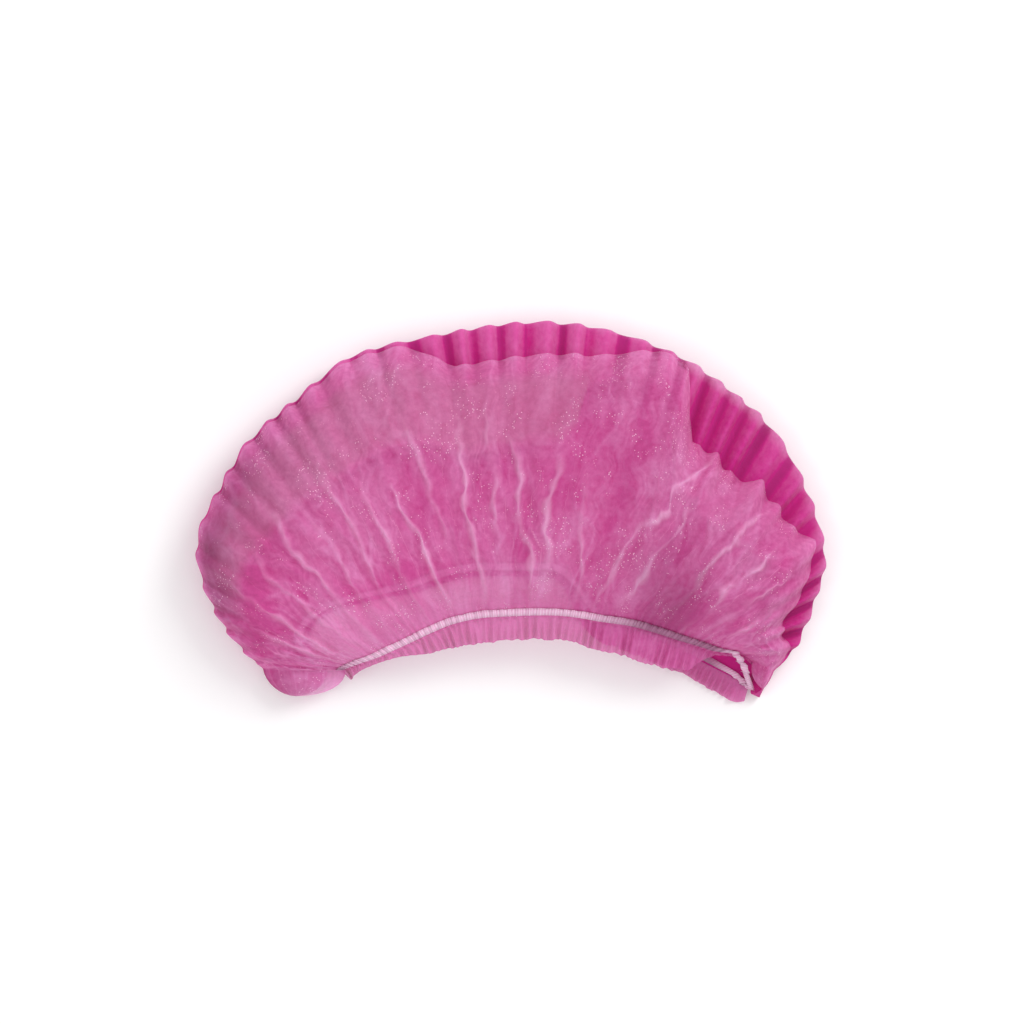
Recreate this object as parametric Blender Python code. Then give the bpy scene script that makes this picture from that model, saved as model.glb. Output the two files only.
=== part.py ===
"""Disposable hair cover cap of pleated non-woven cloth, lying on its side.

Metres, +Z up. X runs along the mouth, Y from the mouth to the crown's ridge, and the floor is Z = 0.
The origin is on the floor under the middle of the cap.
"""
import math
from collections import namedtuple

import bmesh
import bpy
from mathutils import Vector

# Overall size of the relaxed cap
CAP_WIDTH = 0.301
CAP_LENGTH = 0.180
CAP_DEPTH = 0.060

# Cloth and its fit
WALL = 0.0015
GAP = 0.0003

# Ruffles along the ridge, where the accordion pleats end
RUFFLES = 38
RUFFLE_PATTERN = (-1.0, 1.0, 1.0)
RUFFLE_HEIGHT = 0.0022
RUFFLE_SCALLOP = 0.0009
RUFFLE_REACH = 0.050
RUFFLE_LEAST = 0.30
PLAIN_COLUMNS = 2
BAR_COLUMNS = 2

# Domed near wall
DOME_ROWS = 6
DOME_FULLNESS = 0.62
RIDGE_HEIGHT = 0.015
RIDGE_FILLING = 1.2
CREASE_HEIGHT = 0.0042
CREASE_HALF_WIDTH = 0.011

# Lengthwise tuck between the near wall and the ridge
TUCK_INSET = 0.034
TUCK_DEPTH = 0.026
TUCK_LAYER = 0.0036
TUCK_FILLING = 1.4
TUCK_RISE = 2.5

# Mouth: the hem strip under the elastic, the elastic and the frill beyond it
HEM_STRIP = 0.0056
HEM_RISE = 0.0016
ELASTIC_WIDTH = 0.0032
ELASTIC_THICKNESS = 0.0008
ELASTIC_INSET = 0.0010
FRILL_WIDTH = 0.0118
FRILL_WAVE = 0.0013
FLOOR_CLEARANCE = 0.0004
LEAST_SQUARE = 0.6

# Corners of the cloth
LEAST_MITRE = 0.5
SHARP_ANGLE = math.radians(50)

# Sections from the left end to the right end. The ridge and the near edge of the mouth are shares of
# CAP_WIDTH and CAP_LENGTH, and so is the far edge's offset from the near one. The dome's top and the
# mouth's lift are shares of CAP_DEPTH, and the frill's length is a share of FRILL_WIDTH.
Section = namedtuple("Section", "station ridge_x ridge_y mouth_x mouth_y top lift far_x far_y frill")
SECTIONS = (
    Section(0.000, -0.366, -0.464, -0.311, -0.480, 0.30, 0.22, 0.000, 0.000, 0.36),
    Section(0.045, -0.421, -0.400, -0.285, -0.452, 0.42, 0.23, 0.000, 0.010, 0.42),
    Section(0.085, -0.462, -0.306, -0.265, -0.430, 0.55, 0.26, 0.000, 0.020, 0.52),
    Section(0.129, -0.495, -0.183, -0.236, -0.410, 0.67, 0.30, 0.000, 0.025, 0.74),
    Section(0.166, -0.500, -0.067, -0.209, -0.394, 0.76, 0.33, 0.000, 0.025, 0.95),
    Section(0.218, -0.459, 0.077, -0.182, -0.374, 0.84, 0.36, 0.000, 0.025, 1.00),
    Section(0.259, -0.417, 0.187, -0.156, -0.354, 0.89, 0.38, 0.000, 0.025, 1.00),
    Section(0.316, -0.337, 0.304, -0.128, -0.328, 0.94, 0.40, 0.000, 0.025, 1.00),
    Section(0.370, -0.258, 0.406, -0.095, -0.305, 0.98, 0.41, 0.000, 0.025, 1.00),
    Section(0.437, -0.138, 0.459, -0.052, -0.286, 1.00, 0.42, 0.000, 0.020, 1.00),
    Section(0.524, 0.022, 0.499, 0.017, -0.279, 1.00, 0.42, 0.000, 0.015, 1.00),
    Section(0.588, 0.141, 0.483, 0.080, -0.277, 1.00, 0.42, 0.000, 0.010, 1.00),
    Section(0.657, 0.261, 0.414, 0.138, -0.292, 0.98, 0.42, 0.000, 0.000, 1.00),
    Section(0.708, 0.341, 0.328, 0.184, -0.305, 0.95, 0.42, 0.000, -0.010, 1.00),
    Section(0.766, 0.420, 0.206, 0.221, -0.322, 0.91, 0.41, 0.000, -0.022, 1.00),
    Section(0.829, 0.475, 0.033, 0.262, -0.344, 0.84, 0.39, 0.000, -0.036, 1.00),
    Section(0.882, 0.500, -0.128, 0.297, -0.362, 0.76, 0.36, 0.003, -0.044, 0.96),
    Section(0.919, 0.485, -0.239, 0.317, -0.376, 0.65, 0.33, 0.005, -0.044, 0.85),
    Section(0.958, 0.460, -0.350, 0.335, -0.400, 0.50, 0.28, 0.006, -0.029, 0.54),
    Section(0.980, 0.443, -0.392, 0.345, -0.424, 0.40, 0.25, 0.004, -0.013, 0.36),
    Section(1.000, 0.418, -0.436, 0.354, -0.452, 0.32, 0.23, 0.000, 0.000, 0.26),
)

# Tuck along the cap: how far its edge lies inside the ridge, and how deep it is folded under, as shares
# of TUCK_INSET and TUCK_DEPTH.
Tuck = namedtuple("Tuck", "station inset depth")
TUCKS = (
    Tuck(0.00, 0.02, 0.00),
    Tuck(0.06, 0.03, 0.00),
    Tuck(0.14, 0.04, 0.60),
    Tuck(0.24, 0.05, 1.00),
    Tuck(0.42, 0.08, 1.00),
    Tuck(0.46, 0.50, 1.00),
    Tuck(0.52, 0.49, 1.00),
    Tuck(0.59, 0.41, 1.00),
    Tuck(0.63, 0.27, 1.00),
    Tuck(0.68, 0.30, 1.00),
    Tuck(0.70, 0.98, 1.00),
    Tuck(0.74, 0.93, 1.00),
    Tuck(0.78, 0.66, 1.00),
    Tuck(0.83, 0.52, 0.90),
    Tuck(0.86, 0.20, 0.75),
    Tuck(0.90, 0.22, 0.60),
    Tuck(0.94, 0.33, 0.30),
    Tuck(0.97, 0.06, 0.00),
    Tuck(1.00, 0.02, 0.00),
)

# Corners of the tuck from its edge, in to its fold and out to the ridge, in layers under the edge.
TuckCorner = namedtuple("TuckCorner", "place layers")
TUCK_CORNERS = (
    TuckCorner("edge", 0.0),
    TuckCorner("edge", 0.9),
    TuckCorner("fold", 1.1),
    TuckCorner("fold", 1.9),
    TuckCorner("ridge", 2.1),
    TuckCorner("ridge", 3.0),
)

# Far wall from the ridge to its hem strip: share of the way, and share of the ridge's height.
FarRow = namedtuple("FarRow", "share height")
FAR_ROWS = (
    FarRow(0.05, 0.42),
    FarRow(0.13, 0.0),
    FarRow(0.42, 0.0),
    FarRow(0.70, 0.0),
)

# Raised creases of the near wall: their stations at the mouth and at the tuck's edge, where along the
# wall they start and end, and their height as a share of CREASE_HEIGHT.
Crease = namedtuple("Crease", "mouth edge start end height")
CREASES = (
    Crease(0.12, 0.15, 0.05, 0.90, 0.60),
    Crease(0.20, 0.24, 0.05, 0.85, 0.70),
    Crease(0.28, 0.31, 0.10, 0.80, 0.60),
    Crease(0.37, 0.36, 0.05, 0.75, 1.00),
    Crease(0.45, 0.43, 0.05, 0.80, 0.85),
    Crease(0.52, 0.50, 0.05, 0.90, 0.75),
    Crease(0.60, 0.56, 0.05, 0.95, 0.90),
    Crease(0.66, 0.71, 0.05, 1.00, 1.00),
    Crease(0.76, 0.79, 0.10, 1.00, 0.90),
    Crease(0.86, 0.84, 0.10, 0.85, 0.80),
)

COLUMNS = RUFFLES * len(RUFFLE_PATTERN)
HALF_WALL = WALL / 2
RIM_LEAN = HALF_WALL * HEM_RISE / HEM_STRIP
ELASTIC_BASE = HALF_WALL + GAP
FAR_LIFT = ELASTIC_BASE + ELASTIC_THICKNESS + FLOOR_CLEARANCE
FAR_FRILL_LIFT = max(FAR_LIFT, HALF_WALL + FRILL_WAVE + FLOOR_CLEARANCE)


def smooth_column(rows, column, station):
    """Read one column of a table at a station, on a smooth curve through its rows."""
    stations = [row.station for row in rows]
    values = [getattr(row, column) for row in rows]
    last = len(rows) - 1
    index = max(i for i in range(last) if station >= stations[i])

    def slope(i):
        """Return the curve's slope at a row."""
        low = max(i - 1, 0)
        high = min(i + 1, last)
        return (values[high] - values[low]) / (stations[high] - stations[low])

    span = stations[index + 1] - stations[index]
    part = (station - stations[index]) / span
    start = values[index] * (1 + 2 * part) * (1 - part) ** 2
    end = values[index + 1] * part ** 2 * (3 - 2 * part)
    lean_in = span * slope(index) * part * (1 - part) ** 2
    lean_out = span * slope(index + 1) * part ** 2 * (part - 1)
    return start + end + lean_in + lean_out


def straight_column(rows, column, station):
    """Read one column of a table at a station, on straight lines between its rows."""
    for row, following in zip(rows, rows[1:]):
        if station <= following.station:
            part = (station - row.station) / (following.station - row.station)
            return getattr(row, column) * (1 - part) + getattr(following, column) * part
    return getattr(rows[-1], column)


def ruffle_wave(column):
    """Return the ruffle's height at a column, from -1 in a valley to 1 on a crest."""
    if column < PLAIN_COLUMNS or column > COLUMNS - PLAIN_COLUMNS:
        return 0.0
    return RUFFLE_PATTERN[column % len(RUFFLE_PATTERN)]


def ruffle_share(inside_ridge):
    """Return how much of a ruffle is left at a distance inside the ridge."""
    near = max(0.0, 1.0 - inside_ridge / RUFFLE_REACH)
    return RUFFLE_LEAST + (1.0 - RUFFLE_LEAST) * near * near * (3 - 2 * near)


def crease_rise(station, share):
    """Return how far the creases lift the near wall at a station and a share of the way up it."""
    rise = 0.0
    for crease in CREASES:
        if crease.start < share < crease.end:
            middle = crease.mouth + (crease.edge - crease.mouth) * share
            across = max(0.0, 1.0 - abs(station - middle) / CREASE_HALF_WIDTH)
            along = math.sin(math.pi * (share - crease.start) / (crease.end - crease.start))
            rise = max(rise, crease.height * CREASE_HEIGHT * across * math.sqrt(along))
    return rise


class CapSection:
    """The cloth's middle line across the cap at one column, from the near hem edge to the far one."""

    def __init__(self, column):
        self.column = column
        self.station = column / COLUMNS
        station = self.station
        self.ridge = Vector((CAP_WIDTH * smooth_column(SECTIONS, "ridge_x", station),
                             CAP_LENGTH * smooth_column(SECTIONS, "ridge_y", station), 0))
        self.mouth = Vector((CAP_WIDTH * smooth_column(SECTIONS, "mouth_x", station),
                             CAP_LENGTH * smooth_column(SECTIONS, "mouth_y", station), 0))
        across = self.ridge - self.mouth
        self.reach = across.length - HALF_WALL - RUFFLE_SCALLOP
        self.outward = across.normalized()
        self.top = CAP_DEPTH * smooth_column(SECTIONS, "top", station)
        self.lift = CAP_DEPTH * smooth_column(SECTIONS, "lift", station)
        self.far_shift = Vector((CAP_WIDTH * smooth_column(SECTIONS, "far_x", station),
                                 CAP_LENGTH * smooth_column(SECTIONS, "far_y", station), 0))
        self.frill = FRILL_WIDTH * smooth_column(SECTIONS, "frill", station)
        self.line, self.far_shares = self.middle_line()

    def middle_line(self):
        """Return (distance from the mouth, height) points, and each one's share of the far shift."""
        reach = self.reach
        size = self.top / CAP_DEPTH
        layer = TUCK_LAYER * min(1.0, TUCK_FILLING * size)
        ridge_height = RIDGE_HEIGHT * min(1.0, RIDGE_FILLING * size)
        inset = TUCK_INSET * straight_column(TUCKS, "inset", self.station)
        depth = TUCK_DEPTH * straight_column(TUCKS, "depth", self.station)
        tuck_top = ridge_height + TUCK_RISE * layer
        wave = ruffle_wave(self.column)

        def ruffled(distance, height, scallop):
            """Return a point moved by its part of the ruffle."""
            share = ruffle_share(reach - distance)
            return (distance + RUFFLE_SCALLOP * wave * share * scallop,
                    height + RUFFLE_HEIGHT * wave * share)

        strip_top = self.lift + HEM_RISE
        points = [(0.0, self.lift), (HEM_STRIP, strip_top)]
        edge = reach - inset
        for row in range(1, DOME_ROWS):
            share = row / DOME_ROWS
            base = strip_top + (tuck_top - strip_top) * share
            height = base + (self.top - base) * math.sin(math.pi * share) ** DOME_FULLNESS
            height += crease_rise(self.station, share)
            points.append(ruffled(HEM_STRIP + (edge - HEM_STRIP) * share, height, 0))
        places = {"edge": edge, "fold": edge - depth, "ridge": reach}
        for corner in TUCK_CORNERS:
            points.append(ruffled(places[corner.place], tuck_top - corner.layers * layer, 1))
        ridge_foot = tuck_top - TUCK_CORNERS[-1].layers * layer
        shares = [0.0] * len(points)
        for row in FAR_ROWS:
            distance = HEM_STRIP + (reach - HEM_STRIP) * (1 - row.share)
            height = HALF_WALL + row.height * (ridge_foot - HALF_WALL)
            points.append((distance, height))
            shares.append(row.share)
        points += [(HEM_STRIP, FAR_FRILL_LIFT), (0.0, FAR_FRILL_LIFT)]
        shares += [1.0, 1.0]
        return points, shares

    def offset(self, index, distance):
        """Return the sideways offset of a point of the line: outer side first, mitred at corners."""
        line = self.line
        before = line[max(index - 1, 0)]
        here = line[index]
        after = line[min(index + 1, len(line) - 1)]
        normals = []
        for start, end in ((before, here), (here, after)):
            along = (end[0] - start[0], end[1] - start[1])
            length = math.hypot(*along)
            if length > 0:
                normals.append((-along[1] / length, along[0] / length))
        first, second = normals[0], normals[-1]
        mitre = max(1.0 + first[0] * second[0] + first[1] * second[1], LEAST_MITRE)
        return (distance * (first[0] + second[0]) / mitre,
                distance * (first[1] + second[1]) / mitre)

    def place(self, distance, height, far_share):
        """Return the world point at a distance from the mouth and a height."""
        spot = self.mouth + self.outward * distance + self.far_shift * far_share
        return Vector((spot.x, spot.y, height))

    def point(self, index, distance):
        """Return a point of the cloth, offset from the middle line to its outer or inner side."""
        shift = self.offset(index, distance)
        here = self.line[index]
        return self.place(here[0] + shift[0], here[1] + shift[1], self.far_shares[index])

    def side(self, index, distance):
        """Return the world direction from the middle line to the cloth's outer side."""
        return self.point(index, distance) - self.point(index, 0.0)


def add_grid(shape, rows, flip):
    """Add quads between neighbouring rows of vertices."""
    for row, following in zip(rows, rows[1:]):
        for i in range(len(row) - 1):
            corners = [row[i], row[i + 1], following[i + 1], following[i]]
            shape.faces.new(corners[::-1] if flip else corners)


def finish_mesh(name, shape, material):
    """Triangulate a shape, turn its faces out and make it an object."""
    bmesh.ops.triangulate(shape, faces=shape.faces[:])
    bmesh.ops.recalc_face_normals(shape, faces=shape.faces[:])
    mesh = bpy.data.meshes.new(name)
    shape.to_mesh(mesh)
    shape.free()
    mesh.materials.append(material)
    mesh.shade_smooth()
    mesh.set_sharp_from_angle(angle=SHARP_ANGLE)
    cap_piece = bpy.data.objects.new(name, mesh)
    bpy.context.scene.collection.objects.link(cap_piece)
    return cap_piece


def close_section(shape, ring, section):
    """Close a section's ring with triangles between its near side and its far side."""
    split = len(ring) - len(FAR_ROWS) - 3
    near = list(range(split))
    far = list(range(len(ring) - 1, split - 1, -1))
    while len(near) > 1 or len(far) > 1:
        step_near = len(far) == 1 or (len(near) > 1
                                      and section.line[near[1]][0] <= section.line[far[1]][0])
        chain = near if step_near else far
        shape.faces.new([ring[near[0]], ring[far[0]], ring[chain[1]]])
        chain.pop(0)


def make_crown(sections, material):
    """Build the pleated cloth: near wall, tuck, ridge and far wall, open at the mouth.

    The last columns at each end are a solid bar, where the pleats are pressed together.
    """
    shape = bmesh.new()
    rows = range(len(sections[0].line))
    outer = [[shape.verts.new(s.point(i, HALF_WALL)) for i in rows] for s in sections]
    hollow = sections[BAR_COLUMNS:-BAR_COLUMNS]
    inner = [[shape.verts.new(s.point(i, -HALF_WALL)) for i in rows] for s in hollow]
    add_grid(shape, outer, flip=False)
    add_grid(shape, inner, flip=True)
    for start in (0, -1):
        hem_outer = [column[start] for column in outer[BAR_COLUMNS:-BAR_COLUMNS]]
        hem_inner = [column[start] for column in inner]
        add_grid(shape, [hem_outer, hem_inner], flip=start == 0)
    for columns, lining, here, inside in (
            (outer[:BAR_COLUMNS + 1], inner[0], sections[0], hollow[0]),
            (outer[:-BAR_COLUMNS - 2:-1], inner[-1], sections[-1], hollow[-1])):
        close_section(shape, columns[0], here)
        close_section(shape, lining, inside)
        add_grid(shape, [[column[0], column[-1]] for column in columns[:-1]], flip=False)
        rim = [columns[-1][0], lining[0], lining[-1], columns[-1][-1], columns[-2][-1]]
        for corner, following in zip(rim, rim[1:]):
            shape.faces.new([columns[-2][0], corner, following])
    return finish_mesh("crown", shape, material)


class MouthPoint:
    """One point of the loop round the mouth, on the cloth's middle line at its hem."""

    def __init__(self, column, hem, strip, side, along, square, frill, wave):
        self.column = column
        self.hem = hem
        self.strip = strip
        self.side = side
        self.tip = None
        self.end = None
        if square is not None:
            self.tip = along.normalized() if along.dot(square) > 0 else -along.normalized()
            self.end = self.tip / max(self.tip.dot(square), LEAST_SQUARE)
        self.frill = frill
        self.wave = wave
        away = Vector((along.y, -along.x, 0)).normalized()
        self.away = away if away.dot(strip) < 0 else -away

    def on_strip(self, inset, distance):
        """Return a point over the hem strip, an inset in from the edge and mitred round the ends."""
        spot = self.hem + self.strip * (inset / HEM_STRIP) + self.side * distance
        return spot + self.end * (distance - HALF_WALL + GAP) if self.end else spot

    def on_frill(self, reach, distance):
        """Return a point of the frill, at a share of its length."""
        start = GAP + RIM_LEAN
        length = start + (self.frill - start) * reach
        spot = self.hem + self.away * length + self.side * (distance + FRILL_WAVE * self.wave * reach)
        return spot + self.tip * (distance - HALF_WALL) if self.tip else spot


def mouth_loop(sections):
    """Return the loop round the mouth: near edge left to right, then far edge right to left."""
    last = len(sections) - 1

    def loop_point(column, near, square):
        """Return one point, squared off to the end face where a square direction is given."""
        section = sections[column]
        edge, strip = (0, 1) if near else (len(section.line) - 1, len(section.line) - 2)
        before = sections[max(column - 1, 0)]
        after = sections[min(column + 1, last)]
        guide = edge if square is None else 0
        along = after.point(guide, 0.0) - before.point(guide, 0.0)
        hem = section.point(edge, 0.0)
        side = section.side(edge, HALF_WALL).normalized()
        plain = min(column, last - column) <= PLAIN_COLUMNS
        wave = 0.0 if plain else (-1.0) ** column * section.frill / FRILL_WIDTH
        return MouthPoint(column, hem, section.point(strip, 0.0) - hem, side, along, square,
                          section.frill, wave)

    def end_square(end, beside):
        """Return the direction square to the cap's end face, pointing away from the cap."""
        square = Vector((-sections[end].outward.y, sections[end].outward.x, 0))
        beyond = sections[end].mouth - sections[beside].mouth
        return square if square.dot(beyond) > 0 else -square

    right = end_square(last, last - 1)
    left = end_square(0, 1)
    loop = [loop_point(column, True, None) for column in range(1, last)]
    loop += [loop_point(last, True, right), loop_point(last, False, right)]
    loop += [loop_point(column, False, None) for column in range(last - 1, 0, -1)]
    loop += [loop_point(0, False, left), loop_point(0, True, left)]
    return loop


def make_ring(name, corners, material):
    """Build a closed ring from the four corners of its cross-section at each point of a loop."""
    shape = bmesh.new()
    ring = [[shape.verts.new(corner) for corner in section] for section in corners]
    for section, following in zip(ring, ring[1:] + ring[:1]):
        for i in range(4):
            j = (i + 1) % 4
            shape.faces.new([section[i], section[j], following[j], following[i]])
    return finish_mesh(name, shape, material)


def make_elastic(loop, material):
    """Build the elastic: a flat band on the outer face of the hem, all round the mouth."""
    kept = [point for point in loop if point.end is not None or point.column % 2 == 1]
    low, high = ELASTIC_INSET, ELASTIC_INSET + ELASTIC_WIDTH
    base, top = ELASTIC_BASE, ELASTIC_BASE + ELASTIC_THICKNESS
    corners = [[point.on_strip(low, base), point.on_strip(high, base),
                point.on_strip(high, top), point.on_strip(low, top)] for point in kept]
    return make_ring("elastic_band", corners, material)


def make_frill(loop, material):
    """Build the frill: a finely gathered skirt beyond the elastic, all round the mouth."""
    corners = [[point.on_frill(0.0, -HALF_WALL), point.on_frill(1.0, -HALF_WALL),
                point.on_frill(1.0, HALF_WALL), point.on_frill(0.0, HALF_WALL)] for point in loop]
    return make_ring("hem_frill", corners, material)


def make_material(name, colour, roughness):
    """Return a plain material."""
    material = bpy.data.materials.new(name)
    material.use_nodes = True
    shader = material.node_tree.nodes["Principled BSDF"]
    shader.inputs["Base Color"].default_value = (*colour, 1.0)
    shader.inputs["Roughness"].default_value = roughness
    shader.inputs["Metallic"].default_value = 0.0
    return material


def main():
    """Clear the scene and build the cap."""
    for old in list(bpy.data.objects):
        bpy.data.objects.remove(old, do_unlink=True)
    cloth = make_material("pink_nonwoven", (0.78, 0.16, 0.44), 0.75)
    frill = make_material("pink_frill", (0.82, 0.24, 0.50), 0.75)
    elastic = make_material("lilac_elastic", (0.84, 0.50, 0.70), 0.55)
    sections = [CapSection(column) for column in range(COLUMNS + 1)]
    loop = mouth_loop(sections)
    make_crown(sections, cloth)
    make_elastic(loop, elastic)
    make_frill(loop, frill)


main()
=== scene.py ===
"""Looks of the disposable hair cover cap: thin crumpled cloth, a stitched elastic and a gathered frill.

Metres, +Z up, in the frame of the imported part: X runs along the mouth and Y from the mouth to the ridge.
"""
import math
from collections import namedtuple

import bpy
import numpy as np
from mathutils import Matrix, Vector, noise


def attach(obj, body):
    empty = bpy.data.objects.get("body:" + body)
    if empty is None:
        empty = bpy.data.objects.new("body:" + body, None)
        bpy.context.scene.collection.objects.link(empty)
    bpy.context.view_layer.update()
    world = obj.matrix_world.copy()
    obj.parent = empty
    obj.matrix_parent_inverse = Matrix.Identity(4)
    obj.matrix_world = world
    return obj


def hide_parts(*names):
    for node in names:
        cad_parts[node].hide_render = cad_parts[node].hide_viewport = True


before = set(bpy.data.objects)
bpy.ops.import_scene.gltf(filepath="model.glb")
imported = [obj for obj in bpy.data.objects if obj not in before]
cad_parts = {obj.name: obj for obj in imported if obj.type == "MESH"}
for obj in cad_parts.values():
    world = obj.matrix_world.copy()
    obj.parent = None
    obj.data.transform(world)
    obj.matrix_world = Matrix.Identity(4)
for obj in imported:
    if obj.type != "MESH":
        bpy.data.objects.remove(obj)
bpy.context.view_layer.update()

# Overall size of the relaxed cap, as in the part
CAP_WIDTH = 0.301
CAP_LENGTH = 0.180
CAP_DEPTH = 0.060

# Density of the cloth's mesh
RUFFLES = 38
COLUMNS_PER_RUFFLE = 14
COLUMNS = RUFFLES * COLUMNS_PER_RUFFLE
END_COLUMNS = 8
DOME_STEPS = 12
ROWS_PER_DOME_STEP = 8
ROWS_PER_FOLD_STEP = 3

# Ruffles along the ridge
RUFFLE_HEIGHT = 0.0032
RUFFLE_SCALLOP = 0.0005
RUFFLE_REACH = 0.070
RUFFLE_LEAST = 0.15
RUFFLE_CREST = 0.66
RUFFLE_WANDER = 0.45
NEAR_RUFFLE = 0.30

# Domed near wall and the tuck
DOME_FULLNESS = 0.62
RIDGE_HEIGHT = 0.015
RIDGE_FILLING = 1.2
TUCK_INSET = 0.034
TUCK_DEPTH = 0.026
TUCK_LAYER = 0.0036
TUCK_FILLING = 1.4
TUCK_RISE = 2.5

# Mouth
HEM_STRIP = 0.0056
HEM_RISE = 0.0016
HEM_CLEARANCE = 0.0016
GATHERS = 58
GATHER_HEIGHT = 0.0008
GATHER_REACH = 0.016
ELASTIC_WIDTH = 0.0036
ELASTIC_THICKNESS = 0.0008
ELASTIC_INSET = 0.0010
FRILL_LENGTH = 0.0125
FRILL_ROWS = 10
FRILL_WAVE = 0.0018
FRILL_PITCH = 0.0037
FRILL_DROOP = 0.0010
FRILL_LEAN = 0.0006
FLOOR_CLEARANCE = 0.0004

# Slack of the elastic in the right corner: where it starts, how far it hangs at the near and the far hem
SLACK_START = 0.955
NEAR_SLACK = (-0.006, -0.005, -0.002)
FAR_SLACK = (-0.003, 0.0, 0.0)
SLACK_CRUMPLE = 0.0024
ELASTIC_SEAT = 0.0006
RIB_PITCH = 0.0015

# Stretch of the mouth where the elastic carries painted shade and looks darker, along X
ELASTIC_SHADE_START = 0.035
ELASTIC_SHADE_RAMP = 0.030
ELASTIC_SHADE_END = 0.106
ELASTIC_SHADE_FADE = 0.010
SUNK_SHADE = 0.9

# Folds and crumples of the near wall
FOLD_HEIGHT = 0.0026
CREASE_HEIGHT = 0.0016
CRUMPLE_HEIGHT = 0.0022
MAIN_CREASE_HEIGHT = 0.0032

# Rounded ends beyond the pressed pleats
LEFT_BULGE = Vector((0.002, -0.0128, 0.0))
RIGHT_BULGE = Vector((-0.003, -0.0080, 0.0))
END_STEP = 0.002
# Painted light of the pale rim on the rounded ends
END_RIM = 0.55

# Sections along the cap: places as shares of its width and length, heights as shares of its depth, and
# frills as shares of the frill's length
Section = namedtuple(
    "Section", "station ridge_x ridge_y mouth_x mouth_y top lift far_x far_y frill far_frill")
SECTIONS = (
    Section(0.000, -0.398, -0.425, -0.266, -0.428, 0.34, 0.14, -0.030, 0.005, 0.45, 0.30),
    Section(0.045, -0.430, -0.375, -0.261, -0.424, 0.46, 0.20, -0.070, 0.050, 0.42, 0.20),
    Section(0.085, -0.464, -0.300, -0.251, -0.418, 0.56, 0.25, -0.074, 0.105, 0.28, 0.12),
    Section(0.129, -0.495, -0.183, -0.232, -0.407, 0.67, 0.30, -0.056, 0.142, 0.18, 0.10),
    Section(0.166, -0.500, -0.067, -0.209, -0.394, 0.76, 0.33, -0.034, 0.150, 0.16, 0.10),
    Section(0.218, -0.459, 0.077, -0.182, -0.374, 0.84, 0.36, -0.012, 0.148, 0.26, 0.10),
    Section(0.259, -0.417, 0.187, -0.156, -0.354, 0.89, 0.38, 0.000, 0.142, 0.46, 0.15),
    Section(0.316, -0.337, 0.304, -0.128, -0.332, 0.94, 0.40, 0.000, 0.136, 0.66, 0.15),
    Section(0.370, -0.258, 0.406, -0.095, -0.309, 0.98, 0.41, 0.000, 0.130, 0.82, 0.15),
    Section(0.437, -0.138, 0.459, -0.052, -0.292, 1.00, 0.42, 0.000, 0.124, 0.86, 0.15),
    Section(0.524, 0.022, 0.499, 0.017, -0.285, 1.00, 0.42, 0.000, 0.116, 0.84, 0.15),
    Section(0.588, 0.141, 0.483, 0.080, -0.285, 1.00, 0.42, 0.000, 0.106, 0.86, 0.20),
    Section(0.657, 0.261, 0.414, 0.138, -0.300, 0.98, 0.42, 0.000, 0.004, 0.98, 0.60),
    Section(0.708, 0.341, 0.328, 0.184, -0.311, 0.95, 0.42, 0.000, -0.010, 1.08, 0.80),
    Section(0.766, 0.420, 0.206, 0.221, -0.327, 0.91, 0.41, 0.000, -0.016, 1.12, 0.80),
    Section(0.829, 0.475, 0.033, 0.262, -0.349, 0.84, 0.39, 0.000, -0.024, 1.06, 0.80),
    Section(0.882, 0.500, -0.128, 0.297, -0.366, 0.76, 0.36, 0.003, -0.037, 0.80, 0.72),
    Section(0.919, 0.485, -0.239, 0.319, -0.377, 0.65, 0.33, 0.003, -0.045, 0.16, 0.80),
    Section(0.958, 0.460, -0.350, 0.350, -0.383, 0.50, 0.28, 0.002, -0.064, 0.10, 0.80),
    Section(0.980, 0.443, -0.392, 0.370, -0.388, 0.40, 0.23, 0.002, -0.080, 0.10, 0.75),
    Section(1.000, 0.420, -0.432, 0.385, -0.405, 0.32, 0.16, 0.000, -0.070, 0.10, 0.50),
)

# The tuck along the ridge: how far in its edge lies and how deep it folds, as shares of their sizes
Tuck = namedtuple("Tuck", "station inset depth")
TUCKS = (
    Tuck(0.00, 0.02, 0.00),
    Tuck(0.06, 0.03, 0.30),
    Tuck(0.14, 0.04, 0.90),
    Tuck(0.24, 0.05, 1.40),
    Tuck(0.36, 0.06, 1.70),
    Tuck(0.42, 0.08, 1.80),
    Tuck(0.46, 0.50, 1.60),
    Tuck(0.52, 0.49, 1.60),
    Tuck(0.560, 0.45, 1.55),
    Tuck(0.575, 0.43, 1.30),
    Tuck(0.583, 0.42, 0.50),
    Tuck(0.611, 0.27, 0.45),
    Tuck(0.643, 0.05, 0.45),
    Tuck(0.670, 0.06, 0.50),
    Tuck(0.684, 0.62, 0.70),
    Tuck(0.697, 0.94, 0.80),
    Tuck(0.740, 0.93, 0.90),
    Tuck(0.78, 0.66, 0.90),
    Tuck(0.83, 0.52, 0.80),
    Tuck(0.86, 0.18, 0.75),
    Tuck(0.90, 0.36, 0.60),
    Tuck(0.93, 0.48, 0.40),
    Tuck(0.95, 0.28, 0.20),
    Tuck(0.97, 0.06, 0.00),
    Tuck(1.00, 0.02, 0.00),
)

# Corners of the tuck: how far between the edge, the fold and the ridge, and how many layers down
TUCK_CORNERS = (
    ("edge", 0.0),
    ("edge_round", 0.45),
    ("edge", 0.9),
    ("half_in", 1.0),
    ("fold", 1.1),
    ("fold_round", 1.5),
    ("fold", 1.9),
    ("half_out", 2.0),
    ("ridge_near", 2.1),
    ("ridge", 2.3),
    ("ridge_round", 2.7),
    ("ridge", 3.2),
)
ROUND = 0.0008

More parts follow.
